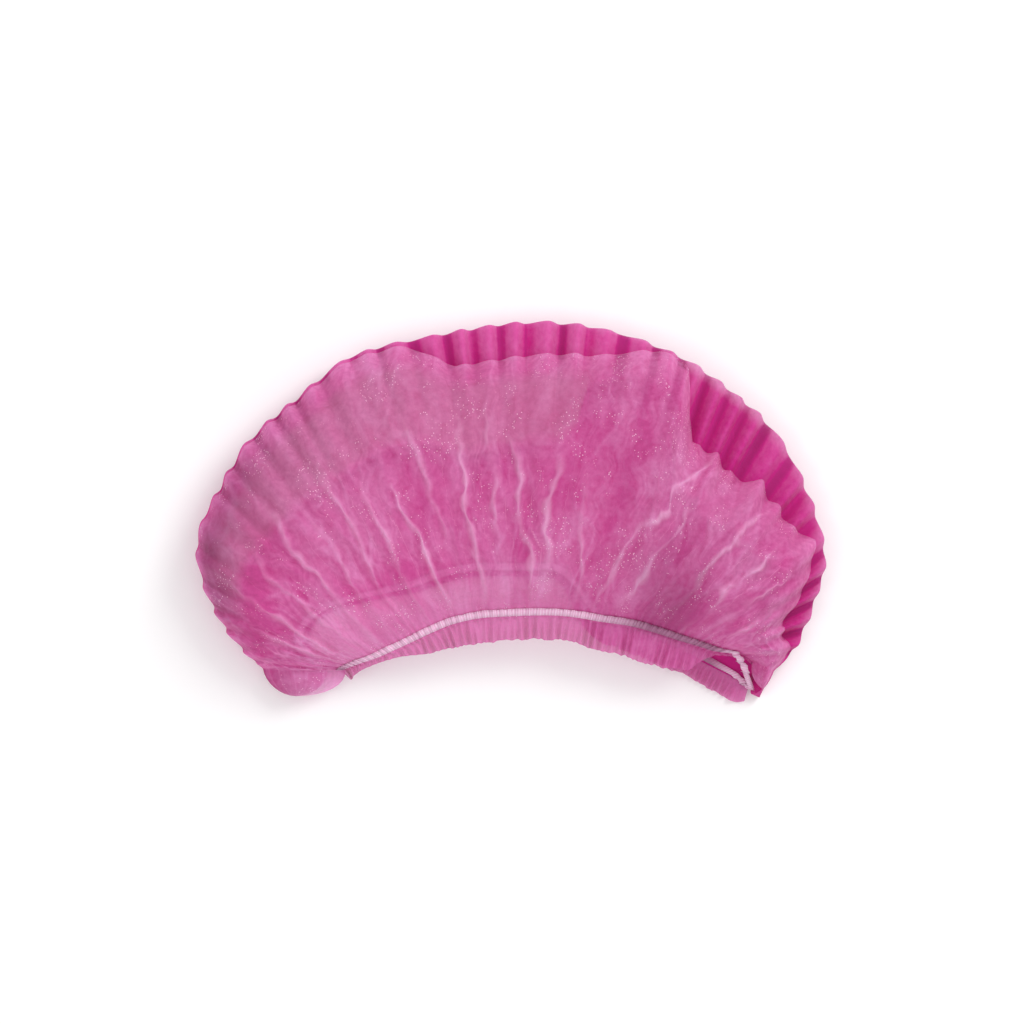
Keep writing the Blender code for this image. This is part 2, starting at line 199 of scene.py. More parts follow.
# Far wall from the ridge to its hem strip: share of the way, and share of the ridge's height
FAR_ROWS = ((0.05, 0.36), (0.12, 0.06), (0.22, 0.0), (0.34, 0.0), (0.48, 0.0), (0.62, 0.0), (0.76, 0.0),
            (0.88, 0.0), (0.96, 0.4))

# Main creases of the near wall: their stations at the mouth and at the tuck's edge, where along the wall
# they start and end, and their strength
Crease = namedtuple("Crease", "mouth edge start end strength")
CREASES = (
    Crease(0.09, 0.10, 0.10, 0.75, 0.50),
    Crease(0.12, 0.15, 0.05, 0.90, 0.60),
    Crease(0.16, 0.20, 0.15, 0.80, 0.45),
    Crease(0.20, 0.24, 0.05, 0.85, 0.60),
    Crease(0.24, 0.27, 0.20, 0.70, 0.40),
    Crease(0.28, 0.31, 0.10, 0.80, 0.60),
    Crease(0.33, 0.33, 0.05, 0.60, 0.60),
    Crease(0.39, 0.34, 0.05, 0.55, 0.90),
    Crease(0.43, 0.39, 0.30, 0.75, 0.50),
    Crease(0.46, 0.45, 0.05, 0.80, 0.80),
    Crease(0.50, 0.48, 0.25, 0.85, 0.55),
    Crease(0.54, 0.50, 0.05, 0.70, 0.80),
    Crease(0.55, 0.56, 0.15, 0.62, 0.75),
    Crease(0.61, 0.57, 0.05, 0.55, 0.60),
    Crease(0.64, 0.72, 0.04, 1.00, 1.00),
    Crease(0.68, 0.74, 0.06, 0.70, 0.85),
    Crease(0.77, 0.80, 0.15, 0.95, 0.70),
    Crease(0.82, 0.84, 0.05, 0.90, 0.85),
    Crease(0.86, 0.87, 0.10, 0.80, 0.60),
    Crease(0.90, 0.90, 0.10, 0.80, 0.50),
)
CREASE_WIDTH = 0.0050

# Soft patches of painted light and painted shade on the near wall: centre and half size as shares of the
# cap's width and length, and how much paler (painted light) and darker (painted shade) the cloth looks
Patch = namedtuple("Patch", "x y width height pale dark")
PATCHES = (
    Patch(-0.480, -0.133, 0.045, 0.230, -0.07, 0.56),
    Patch(-0.425, 0.107, 0.045, 0.107, 0.00, 0.26),
    Patch(-0.398, -0.190, 0.028, 0.180, -0.30, -0.06),
    Patch(-0.404, -0.325, 0.026, 0.037, -0.20, 0.25),
    Patch(-0.274, -0.027, 0.110, 0.230, 0.17, -0.10),
    Patch(0.060, 0.000, 0.220, 0.290, 0.00, 0.09),
    Patch(-0.309, -0.453, 0.064, 0.059, 0.16, 0.00),
    Patch(-0.226, -0.235, 0.064, 0.037, -0.22, 0.00),
    Patch(-0.114, -0.165, 0.064, 0.037, -0.22, 0.00),
    Patch(0.106, 0.267, 0.028, 0.090, -0.04, 0.10),
    Patch(0.176, 0.175, 0.041, 0.165, -0.06, 0.18),
    Patch(0.250, -0.227, 0.070, 0.170, -0.08, 0.42),
    Patch(0.404, -0.267, 0.035, 0.107, 0.12, 0.00),
    Patch(0.420, -0.150, 0.026, 0.080, -0.18, 0.02),
    Patch(0.372, -0.107, 0.024, 0.085, 0.14, 0.00),
    Patch(0.250, 0.120, 0.024, 0.107, 0.14, 0.00),
    Patch(0.218, 0.333, 0.036, 0.048, -0.12, 0.04),
)

# How far the looks reach in from an edge: the ruffles' painted light and shade near the ridge, the hem's
# dense cloth, the band's painted shade, the pale rim's painted light, the strands at the elastic and the
# folds' fading at the tuck
UNDER_REACH = 0.040
DENSE_REACH = 0.022
BAND_INSET = 0.0095
RIM_WIDTH = 0.0045
STRAND_REACH = 0.010
EDGE_REACH = 0.008

# Least paleness of the upper layer, and shade of the valleys between the ruffles
LEAST_VEIL = 0.20
VALLEY_SHADE = 0.55

# Looks that change along the cap: stations and amounts of the pale thin edge, thin cloth with painted
# light, and of the far wall's paler and darker stretches, painted light and painted shade
THIN_EDGE = ((0.64, 0.67, 0.74, 0.80, 0.94, 0.97), (0.0, 1.0, 1.0, 0.6, 0.6, 0.0))
FAR_PALE = ((0.56, 0.66, 0.72), (0.08, 0.0, -0.09))
FAR_DARK = ((0.62, 0.72), (0.0, 0.10))

# The near wall laid out flat, for the size of its folds
FAN_WIDTH = 0.34
FAN_LENGTH = 0.12

# Round patterns over the floor's plane: size in metres and seed
Blotch = namedtuple("Blotch", "size seed")
DRIFT = Blotch(0.050, 0.0)
CELL_WANDER = Blotch(0.016, 31.0)
CLOUD = Blotch(0.020, 41.0)
SMALL_CLOUD = Blotch(0.009, 43.0)
SLIM = Blotch(0.006, 45.0)
GLINTS = Blotch(0.009, 47.0)
SMALL_GLINTS = Blotch(0.004, 49.0)
BAND_SOFTNESS = Blotch(0.012, 61.0)
PATCH_SWAY_X = Blotch(0.018, 71.0)
PATCH_SWAY_Y = Blotch(0.018, 73.0)
LAID_SWAY = Blotch(0.018, 81.0)
SMALL_LAID_SWAY = Blotch(0.007, 83.0)

# Long patterns up the near wall: width and length in metres and seed
Streak = namedtuple("Streak", "width length seed")
LONG_FOLDS = Streak(0.013, 0.060, 3.0)
SHORT_FOLDS = Streak(0.007, 0.035, 7.0)
CREASE_PRESENCE = Streak(0.020, 0.045, 15.0)
SMALL_PRESENCE = Streak(0.012, 0.016, 17.0)
ZIGZAG = Streak(0.030, 0.022, 51.0)
SMALL_ZIGZAG = Streak(0.010, 0.007, 53.0)
CELLS = Streak(0.012, 0.040, 0.0)
SMALL_CELLS = Streak(0.0062, 0.014, 40.0)

# Values that each point of the cloth carries for its material, beside its place when laid flat
CLOTH_VALUES = ("veil", "crease", "line", "crisp", "tone", "lit_rim", "ruffle_light_and_shade", "band", "dense", "pale", "dark",
                "cloud", "slim", "glints")

# How much each value adds to the cloth's paleness, shade, cover and relief. Paleness from the lit rim, the
# ruffles and the patches is painted light, from the creases partly painted sheen, and the shade is painted
# shade mixed with the random tone and clouds
PALENESS = {"veil": 0.39, "band": 0.04, "crease": 0.40, "crisp": 0.06, "lit_rim": 0.42, "ruffle_light_and_shade": 0.30,
            "tone": 0.16, "pale": 1.0, "lines": 1.0, "dense": -0.06, "cloud": 0.55, "grain": 0.22}
SHADE = {"dark": 1.0, "tone": -0.10, "cloud": -0.30}
COVER = {"crease": 0.22, "crisp": 0.20, "lit_rim": -0.42, "lines": 0.7, "dark": 0.3, "dense": 0.26,
         "tone": -0.06, "grain": 0.25, "glint": 0.4}
RELIEF = {"grain": 0.40, "fibre": 0.12}
CREASE_TINT = 0.42
BAND_SHADE_AMOUNT = 0.48
TRANSLUCENCE = 0.30

# Sizes of the cloth's fine marks
GRAIN_SIZE = 0.0030
STREAK_WIDTH = 0.0030
STREAK_LENGTH = 0.026
FIBRE_SIZE = 0.0008
BOND_PITCH = 0.0013
LINE_WANDER = 0.0012
SLIM_LINE = 0.0008
BROAD_LINE = 0.0036

# Colours
CROWN_DEEP = (0.73, 0.024, 0.33)
CROWN_PALE = (0.93, 0.52, 0.87)
FRILL_DEEP = (0.66, 0.07, 0.37)
FRILL_PALE = (0.86, 0.50, 0.73)
CREASE_WHITENING_AND_SHEEN = (0.95, 0.60, 0.79)
BAND_SHADE_COLOUR = (0.60, 0.26, 0.42)
SHADE_COLOUR = (0.10, 0.02, 0.055)
GLINT_COLOUR = (0.94, 0.74, 0.87)
SEEN_THROUGH = (1.0, 0.80, 0.91, 1.0)
ELASTIC_GROOVE = (0.78, 0.44, 0.63)
ELASTIC_RIB = (0.88, 0.62, 0.79)
ELASTIC_SHADE = (0.34, 0.11, 0.23)
FLOOR_COLOUR = (0.93, 0.93, 0.93, 1)

# Light and camera
Light = namedtuple("Light", "name spot size power")
LIGHTS = (
    Light("key", (0.8, 0.7, 1.0), 0.7, 10),
    Light("fill", (-0.8, -0.4, 1.2), 0.8, 3),
)
WORLD_STRENGTH = 0.82
FLOOR_HALF = 3.0
PHOTO_PIXELS = 1024
METRES_PER_PIXEL = 0.00048
CAMERA_DISTANCE = 1.5
CAMERA_TARGET = (0.0002, -0.001, 0.012)

SEED = Vector((3.7, 9.1, 5.3))


def smooth_column(rows, column, stations):
    """Read one column of a table at many stations, on a smooth curve through its rows."""
    knots = np.array([row.station for row in rows])
    values = np.array([getattr(row, column) for row in rows])
    last = len(rows) - 1
    slopes = np.array([(values[min(i + 1, last)] - values[max(i - 1, 0)])
                       / (knots[min(i + 1, last)] - knots[max(i - 1, 0)]) for i in range(last + 1)])
    index = np.clip(np.searchsorted(knots, stations, side="right") - 1, 0, last - 1)
    span = knots[index + 1] - knots[index]
    part = (stations - knots[index]) / span
    return (values[index] * (1 + 2 * part) * (1 - part) ** 2
            + values[index + 1] * part ** 2 * (3 - 2 * part)
            + span * slopes[index] * part * (1 - part) ** 2
            + span * slopes[index + 1] * part ** 2 * (part - 1))


def straight_column(rows, column, stations):
    """Read one column of a table at many stations, on straight lines."""
    return np.interp(stations, [row.station for row in rows], [getattr(row, column) for row in rows])


def noise_at(x, y, z=0.0, scale=1.0):
    """Return signed smooth noise at arrays of places."""
    x, y, z = np.broadcast_arrays(np.asarray(x, float), np.asarray(y, float), np.asarray(z, float))
    flat = [noise.noise(Vector((a, b, c)) * scale + SEED)
            for a, b, c in zip(x.ravel(), y.ravel(), z.ravel())]
    return np.array(flat).reshape(x.shape)


def voronoi_at(x, y, z=0.0):
    """Return the distance to the nearest cell point, how much further the next is, and the cell's value."""
    nearest, further, cell = [], [], []
    for a, b in zip(x.ravel(), y.ravel()):
        distances, middles = noise.voronoi(Vector((a, b, z)) + SEED)
        nearest.append(distances[0])
        further.append(distances[1] - distances[0])
        cell.append(math.sin(40 * (middles[0].x + middles[0].y)))
    return (np.array(values).reshape(x.shape) for values in (nearest, further, cell))


def blotches(x, y, pattern):
    """Return a round noise pattern at places in the floor's plane."""
    return noise_at(x, y, pattern.seed, 1 / pattern.size)


def streaks(fan, up, pattern):
    """Return a long noise pattern at places on the wall laid flat."""
    return noise_at(fan / pattern.width, up / pattern.length, pattern.seed)


def ruffle_part(stations):
    """Return how far along its ruffle each station is, from 0 in one valley to 1 in the next."""
    phase = stations * RUFFLES + RUFFLE_WANDER * noise_at(stations * RUFFLES * 0.45, 0.0)
    return phase - np.floor(phase)


def ruffle_valley(stations):
    """Return 1 in the narrow valleys between the ruffles and 0 on their crests."""
    part = ruffle_part(stations)
    size = np.clip(0.8 + 0.8 * noise_at(np.floor(stations * RUFFLES), 8.0), 0.3, 1)
    return size * np.maximum(np.clip((part - 0.90) / 0.08, 0, 1), np.clip((0.34 - part) / 0.14, 0, 1))


def ruffle_wave(stations):
    """Return the ruffle's height, from -1 in a valley to 1 on a crest."""
    part = ruffle_part(stations)
    climb = np.where(part < RUFFLE_CREST, part / RUFFLE_CREST, (1 - part) / (1 - RUFFLE_CREST))
    crest = climb ** 2 * (3 - 2 * climb)
    size = 1.0 + 0.45 * noise_at(stations * RUFFLES * 0.7, 4.0)
    ends = np.clip(np.minimum(stations, 1 - stations) / 0.03, 0, 1)
    return (2 * crest - 1) * size * ends


def spline_rows(controls, samples):
    """Sample a uniform cubic B-spline through arrays of control rows: first and last are kept."""
    before = 2 * controls[:1] - controls[1:2]
    after = 2 * controls[-1:] - controls[-2:-1]
    controls = np.concatenate([before, controls, after])
    rows = []
    for place in samples:
        index = min(int(place), len(controls) - 4)
        t = place - index
        weights = ((1 - t) ** 3 / 6, (3 * t ** 3 - 6 * t ** 2 + 4) / 6,
                   (-3 * t ** 3 + 3 * t ** 2 + 3 * t + 1) / 6, t ** 3 / 6)
        rows.append(sum(w * controls[index + k] for k, w in enumerate(weights)))
    return np.array(rows)


class Cap:
    """The cloth's surface as arrays: rows run from the near hem to the far one, columns along the cap."""

    def __init__(self):
        self.stations = np.linspace(0, 1, COLUMNS + 1)
        u = self.stations
        self.ridge = np.stack([CAP_WIDTH * smooth_column(SECTIONS, "ridge_x", u),
                               CAP_LENGTH * smooth_column(SECTIONS, "ridge_y", u)], axis=-1)
        self.mouth = np.stack([CAP_WIDTH * smooth_column(SECTIONS, "mouth_x", u),
                               CAP_LENGTH * smooth_column(SECTIONS, "mouth_y", u)], axis=-1)
        self.far_shift = np.stack([CAP_WIDTH * smooth_column(SECTIONS, "far_x", u),
                                   CAP_LENGTH * smooth_column(SECTIONS, "far_y", u)], axis=-1)
        across = self.ridge - self.mouth
        self.reach = np.linalg.norm(across, axis=-1)
        self.outward = across / self.reach[:, None]
        self.reach = self.reach - RUFFLE_SCALLOP
        self.top = CAP_DEPTH * smooth_column(SECTIONS, "top", u)
        self.lift = CAP_DEPTH * smooth_column(SECTIONS, "lift", u)
        self.frill = FRILL_LENGTH * smooth_column(SECTIONS, "frill", u)
        self.far_frill = FRILL_LENGTH * smooth_column(SECTIONS, "far_frill", u)
        self.wave = ruffle_wave(u)
        self.valley = ruffle_valley(u)
        self.build_rows()
        self.lay_rows()
        self.place_points()
        self.shade_edges()
        self.shade_patches()

    def build_rows(self):
        """Sample the sections' curves: distance from the mouth, height, and the share of the far shift."""
        u = self.stations
        size = self.top / CAP_DEPTH
        layer = TUCK_LAYER * np.minimum(1, TUCK_FILLING * size)
        ridge_height = RIDGE_HEIGHT * np.minimum(1, RIDGE_FILLING * size)
        inset = TUCK_INSET * straight_column(TUCKS, "inset", u)
        inset = inset * (1 + (0.04 + 0.20 * np.clip((u - 0.68) / 0.04, 0, 1)) * noise_at(u * 60, 1.0))
        depth = TUCK_DEPTH * straight_column(TUCKS, "depth", u)
        tuck_top = ridge_height + TUCK_RISE * layer
        edge = self.reach - inset
        self.edge = edge
        self.depth = depth
        controls = []

        def add(distance, height, far=0.0, ruffle=0.0):
            """Add one control row, moved by its part of the ruffle."""
            near = np.clip(1 - (self.reach - distance) / RUFFLE_REACH, 0, 1)
            share = RUFFLE_LEAST + (1 - RUFFLE_LEAST) * near ** 2 * (3 - 2 * near)
            distance = distance + RUFFLE_SCALLOP * self.wave * share * ruffle
            height = height + RUFFLE_HEIGHT * self.wave * share * (ruffle if ruffle or far else NEAR_RUFFLE)
            controls.append(np.stack([distance, height, np.full_like(distance, far)], axis=-1))

        strip_top = self.lift + HEM_RISE
        zero = np.zeros_like(u)
        add(zero, self.lift)
        add(zero + HEM_STRIP / 2, self.lift + HEM_RISE / 2)
        add(zero + HEM_STRIP, strip_top)
        for step in range(1, DOME_STEPS):
            share = step / DOME_STEPS
            base = strip_top + (tuck_top - strip_top) * share
            height = base + (self.top - base) * math.sin(math.pi * share) ** DOME_FULLNESS
            add(HEM_STRIP + (edge - HEM_STRIP) * share, height)
        self.edge_control = len(controls)
        places = {
            "edge": edge,
            "edge_round": edge + ROUND,
            "half_in": edge - depth / 2,
            "fold": edge - depth,
            "fold_round": edge - depth - ROUND,
            "half_out": (edge - depth + self.reach) / 2,
            "ridge_near": self.reach - 2 * ROUND,
            "ridge": self.reach,
            "ridge_round": self.reach + ROUND,
        }
        for place, layers in TUCK_CORNERS:
            add(places[place], tuck_top - layers * layer, ruffle=1.0)
        foot = tuck_top - TUCK_CORNERS[-1][1] * layer
        self.ridge_control = len(controls) - 3
        self.fold_control = self.edge_control + 5
        ripple = (self.wave + 1.4) * 0.0006
        for share, height in FAR_ROWS:
            rise = FLOOR_CLEARANCE + height * np.maximum(foot, 0.0) * (1 if share < 0.5 else 0)
            near = max(0.0, 1 - share / 0.6)
            lift = 0.0 if share < 0.9 else HEM_CLEARANCE * height
            add(HEM_STRIP + (self.reach - HEM_STRIP) * (1 - share),
                rise + ripple * (0.25 + near) + lift, far=share)
        add(zero + HEM_STRIP, zero + HEM_CLEARANCE + FLOOR_CLEARANCE, far=1.0)
        add(zero + HEM_STRIP / 2, zero + HEM_CLEARANCE + FLOOR_CLEARANCE, far=1.0)
        add(zero, zero + HEM_CLEARANCE + FLOOR_CLEARANCE, far=1.0)
        controls = np.array(controls)
        samples = [0.0, 0.5, 1.0, 1.5]
        for step in range(2, self.edge_control):
            samples += [step + i / ROWS_PER_DOME_STEP for i in range(ROWS_PER_DOME_STEP)]
        for step in range(self.edge_control, len(controls) - 1):
            samples += [step + i / ROWS_PER_FOLD_STEP for i in range(ROWS_PER_FOLD_STEP)]
        samples.append(len(controls) - 1.0)
        self.samples = np.array(samples)
        rows = spline_rows(controls, samples)
        self.distance, self.height, self.far_share = rows[..., 0], rows[..., 1], rows[..., 2]

    def lay_rows(self):
        """Lay the rows over the floor's plane, and flat as a fan for the size of the folds."""
        samples = self.samples[:, None]
        self.u = np.broadcast_to(self.stations, self.distance.shape)
        self.share = np.clip(self.distance / self.edge, 0, 1)
        self.near_side = np.clip((self.edge_control + 0.6 - samples) / 1.2, 0, 1) * np.ones_like(self.u)
        self.from_hem = np.clip(self.distance / GATHER_REACH, 0, 1)
        self.spot = self.mouth[None] + self.outward[None] * self.distance[..., None]
        self.x, self.y = self.spot[..., 0], self.spot[..., 1]
        self.fan = (self.u + 0.030 * blotches(self.x, self.y, DRIFT)) * FAN_WIDTH
        self.up = self.share * FAN_LENGTH
        sway = 0.007 * blotches(self.x, self.y, LAID_SWAY)
        sway = sway + 0.004 * blotches(self.x, self.y, SMALL_LAID_SWAY)
        self.laid = np.stack([self.u * FAN_WIDTH + sway, self.share * FAN_LENGTH + sway,
                              self.far_share * 0.3], axis=-1)

    def mark_creases(self):
        """Note how far aside of its nearest main crease each point lies, and return the creases' swell."""
        u, share = self.u, self.share
        main = np.zeros_like(u)
        self.line = np.full_like(u, 0.02)
        self.crisp = np.zeros_like(u)
        zigzag = 0.011 * streaks(self.fan, self.up, ZIGZAG)
        zigzag = zigzag + 0.004 * streaks(self.fan, self.up, SMALL_ZIGZAG)
        width = np.linalg.norm(np.gradient(self.spot, axis=1), axis=-1) * COLUMNS
        for line in CREASES:
            middle = line.mouth + (line.edge - line.mouth) * share + zigzag
            across = np.clip(1 - np.abs(u - middle) / (CREASE_WIDTH * (1.3 - 0.5 * share)), 0, 1)
            part = np.clip((share - line.start) / (line.end - line.start), 0, 1)
            broken = np.clip(0.75 + 1.1 * noise_at(line.mouth * 90 + self.up / 0.022, 57.0), 0.1, 1)
            strength = line.strength * np.sqrt(np.sin(math.pi * part)) * broken
            main = np.maximum(main, strength * across)
            aside = (u - middle) * width
            closer = np.abs(aside) < np.abs(self.line)
            self.line = np.where(closer, aside, self.line)
            self.crisp = np.where(closer, strength, self.crisp)
        return main

    def crumple_wall(self):
        """Return how far folds, crumples and creases lift the near wall, and note its tone and creases."""
        u, fan, up = self.u, self.fan, self.up
        from_edge = np.clip((self.edge - self.distance) / EDGE_REACH, 0, 1)
        fold_size = self.near_side * self.from_hem * (0.35 + 0.65 * from_edge)
        folds = streaks(fan, up, LONG_FOLDS) + 0.6 * streaks(fan, up, SHORT_FOLDS)
        wander = 0.004 * blotches(self.x, self.y, CELL_WANDER)
        cells, gap, facet = voronoi_at(
            (fan + wander) / CELLS.width, (up + 1.5 * wander) / CELLS.length, CELLS.seed)
        small, small_gap, flake = voronoi_at(
            (fan + wander) / SMALL_CELLS.width, (up + wander) / SMALL_CELLS.length, SMALL_CELLS.seed)
        left = np.clip((0.24 - u) / 0.16, 0, 1)
        right = np.clip((u - 0.80) / 0.12, 0, 1)
        amount = np.clip(0.55 + 0.8 * left + 0.5 * right, 0, 1.2)
        main = self.mark_creases()
        lift = FOLD_HEIGHT * folds * fold_size
        crumples = CREASE_HEIGHT * (cells - 0.35) * 2 + CRUMPLE_HEIGHT * (small - 0.35) * amount
        lift = lift + crumples * fold_size
        lift = lift + MAIN_CREASE_HEIGHT * main * fold_size

        present = np.clip(0.15 + 2.4 * streaks(fan, up, CREASE_PRESENCE), 0, 1)
        some = np.clip(0.2 + 2.4 * streaks(fan, up, SMALL_PRESENCE), 0, 1)
        strands = np.clip(self.gather_wave, 0, 1) ** 2
        patchy = np.clip(0.6 + 1.5 * noise_at(u * 25, 5.0), 0, 1)
        strands = strands * np.exp(-self.distance / STRAND_REACH) * patchy
        facet = facet * np.clip(gap / 0.12, 0, 1)
        flake = flake * np.clip(small_gap / 0.15, 0, 1)
        inside = np.clip(self.from_hem * 1.2, 0, 1)
        self.tone = self.near_side * inside * (
            (0.5 * folds + 1.2 * (0.40 - cells)) * (1 - 0.6 * left) + 0.45 * facet + 0.35 * amount * flake)
        nets = (0.35 * np.clip(1 - gap / 0.11, 0, 1) ** 1.3 * present,
                0.35 * np.clip(1 - small_gap / 0.16, 0, 1) * some * amount)
        # Pale crease lines: whitened folds with painted sheen, along the main creases, the cells' edges and
        # the gathers
        self.crease = np.clip(0.55 * main + nets[0] + nets[1] + 0.6 * strands, 0, 1)
        self.crease = self.crease * self.near_side * inside
        return lift

    def place_points(self):
        """Place the rows in the world, with gathers, folds and crumples."""
        self.gather_wave = np.sin(2 * math.pi * (self.u * GATHERS + 0.6 * noise_at(self.u * 30, 2.0)))
        gather = self.gather_wave * GATHER_HEIGHT * np.exp(-self.distance / GATHER_REACH * 1.3)
        height = self.height + self.crumple_wall() + gather * self.near_side
        shift = self.far_shift[None] * self.far_share[..., None]
        self.points = np.stack([self.x + shift[..., 0], self.y + shift[..., 1],
                                np.maximum(height, FLOOR_CLEARANCE)], axis=-1)

    def shade_edges(self):
        """Note where the cloth is an upper layer, the painted light and shade of the ruffles, stronger
        where the cloth lies under another, the painted shade over the band and the pale rim with its
        painted light.
        """
        samples = self.samples[:, None]
        u = self.u
        self.veil = np.clip((self.fold_control + 0.5 - samples) / 1.0, 0, 1) * np.ones_like(u)
        inside_ridge = self.reach - self.distance
        seen = np.clip(1 - inside_ridge / UNDER_REACH, 0, 1) ** 0.7
        seen = np.where(self.near_side > 0.5, 0.5 * seen, np.clip(seen * 1.3, 0, 1))
        # Painted light on the ruffles' crests and painted shade in their valleys
        self.ruffle_light_and_shade = (0.35 - self.valley) * seen
        # Painted shade over the band, where the tuck's layers stack under the near wall
        soft = 0.0035 * (1 + blotches(self.x, self.y, BAND_SOFTNESS))
        past_fold = self.distance - self.edge + self.depth
        self.band = (self.near_side * np.clip(0.5 + past_fold / soft / 2, 0, 1)
                     * np.clip(0.5 + (self.edge - BAND_INSET - self.distance) / soft / 2, 0, 1)
                     * np.clip((0.592 - u) / 0.006, 0, 1) * np.clip((u - 0.10) / 0.05, 0, 1))
        # Painted light along the rim near the ridge, strongest on the lit side, and along the thin edge
        lit_side = np.clip((u - 0.52) / 0.10, 0, 1) * np.clip((0.95 - u) / 0.05, 0, 1)
        self.lit_rim = np.exp(-np.abs(samples - self.ridge_control - 0.6) / 1.0) * (0.25 + 0.75 * lit_side)
        thin = np.interp(u, *THIN_EDGE)
        self.lit_rim = np.maximum(self.lit_rim, thin * np.clip(1.1 - inside_ridge / RIM_WIDTH, 0, 1) ** 0.6)
        self.dense = self.near_side * np.exp(-self.distance / DENSE_REACH)

    def shade_patches(self):
        """Note the soft clouds, the patches of painted light and painted shade, and the glinting spots of
        the cloth.
        """
        x, y, u = self.x, self.y, self.u
        far_side = 1 - self.near_side
        self.cloud = 0.13 * (blotches(x, y, CLOUD) + 0.6 * blotches(x, y, SMALL_CLOUD))
        self.slim = np.clip(0.5 + 1.3 * blotches(x, y, SLIM), 0, 1)
        spots = blotches(x, y, GLINTS) + 0.5 * blotches(x, y, SMALL_GLINTS)
        self.glints = np.clip((spots - 0.12) / 0.25, 0, 1)
        self.pale = np.zeros_like(u)
        self.dark = np.zeros_like(u)
        sway_x = 0.30 * blotches(x, y, PATCH_SWAY_X)
        sway_y = 0.30 * blotches(x, y, PATCH_SWAY_Y)
        # Patches of painted light where paler and painted shade where darker
        for patch in PATCHES:
            away = (((x / CAP_WIDTH - patch.x) / patch.width + sway_x) ** 2
                    + ((y / CAP_LENGTH - patch.y) / patch.height + sway_y) ** 2)
            weight = np.exp(-away) * self.near_side
            self.pale = self.pale + patch.pale * weight
            self.dark = self.dark + patch.dark * weight
        # Far wall: paler and darker stretches of painted light and painted shade
        self.pale = self.pale + far_side * np.interp(u, *FAR_PALE)
        self.dark = self.dark + far_side * np.interp(u, *FAR_DARK)
        # Painted shade in the valleys between the ruffles
        self.dark = self.dark + VALLEY_SHADE * np.clip(-self.ruffle_light_and_shade, 0, 1)

    def with_ends(self, values):
        """Add columns at both ends, where the section closes to a rounded end."""
        left, right = [], []
        for step in range(1, END_COLUMNS + 1):
            angle = step / END_COLUMNS * math.pi / 2
            for column, bulge, side in ((0, LEFT_BULGE, left), (-1, RIGHT_BULGE, right)):
                edge = values[:, column]
                if values is self.points:
                    centre = edge.mean(axis=0)
                    edge = centre + (edge - centre) * math.cos(angle) + np.array(bulge) * math.sin(angle)
                    edge[:, 2] = np.maximum(edge[:, 2], FLOOR_CLEARANCE)
                elif values is self.laid:
                    edge = edge + np.array([(-END_STEP if column == 0 else END_STEP) * step, 0, 0])
                elif values is self.lit_rim:
                    # Painted light of the pale rim on the rounded ends
                    edge = np.maximum(edge, END_RIM * math.sin(angle))
                side.append(edge)
        return np.concatenate([np.stack(left[::-1], axis=1), values, np.stack(right, axis=1)], axis=1)


def grid_mesh(name, points, attributes=None, closed=False):
    """Make a mesh from a grid of points, with float attributes per point."""
    rows, columns = points.shape[:2]
    index = np.arange(rows * columns).reshape(rows, columns)
    if closed:
        index = np.concatenate([index, index[:, :1]], axis=1)
    corners = (index[:-1, :-1], index[:-1, 1:], index[1:, 1:], index[1:, :-1])
    faces = np.stack(corners, axis=-1).reshape(-1, 4)
    mesh = bpy.data.meshes.new(name)
    mesh.from_pydata(points.reshape(-1, 3).tolist(), [], faces.tolist())
    for key, values in (attributes or {}).items():
        kind, field = ("FLOAT_VECTOR", "vector") if values.ndim == 3 else ("FLOAT", "value")
        layer = mesh.attributes.new(key, kind, "POINT")
        layer.data.foreach_set(field, np.ascontiguousarray(values, dtype=np.float32).ravel())
    mesh.shade_smooth()
    piece = bpy.data.objects.new(name, mesh)
    bpy.context.scene.collection.objects.link(piece)
    return piece


def node(tree, kind, **values):
    """Add a shader node with values for its inputs or its settings."""
    made = tree.nodes.new(kind)
    for key, value in values.items():
        if key in made.inputs:
            made.inputs[key].default_value = value
        else:
            setattr(made, key, value)
    return made


def mix_value(tree, low, high, factor):
    """Return a socket between two values."""
    blend = node(tree, "ShaderNodeMapRange", clamp=True)
    blend.inputs["To Min"].default_value = low
    blend.inputs["To Max"].default_value = high
    tree.links.new(factor, blend.inputs["Value"])
    return blend.outputs["Result"]


def math_node(tree, operation, first, second):
    """Return a socket of a sum, product or other operation of sockets or numbers."""
    made = node(tree, "ShaderNodeMath", operation=operation, use_clamp=False)
    for socket, value in zip(made.inputs, (first, second)):
        if isinstance(value, (int, float)):
            socket.default_value = value
        else:
            tree.links.new(value, socket)
    return made.outputs[0]


def colour_mix(tree, first, second, factor):
    """Return a colour socket between two colours."""
    blend = node(tree, "ShaderNodeMix", data_type="RGBA", clamp_factor=True)
    for socket, value in ((blend.inputs[6], first), (blend.inputs[7], second)):
        if isinstance(value, tuple):
            socket.default_value = (*value, 1.0)
        else:
            tree.links.new(value, socket)
    tree.links.new(factor, blend.inputs[0])
    return blend.outputs[2]


def noise_node(tree, coordinates, scale, detail=3.0, roughness=0.55):
    """Return a noise value socket at a scale in metres."""
    made = node(tree, "ShaderNodeTexNoise", Scale=1 / scale, Detail=detail, Roughness=roughness)
    tree.links.new(coordinates, made.inputs["Vector"])
    return made.outputs["Fac"]


def ramp(tree, value, low, high):
    """Return a socket that climbs from 0 to 1 as a value goes from low to high."""
    made = node(tree, "ShaderNodeMapRange", clamp=True, interpolation_type="SMOOTHSTEP")
    made.inputs["From Min"].default_value = low
    made.inputs["From Max"].default_value = high
    tree.links.new(value, made.inputs["Value"])
    return made.outputs["Result"]


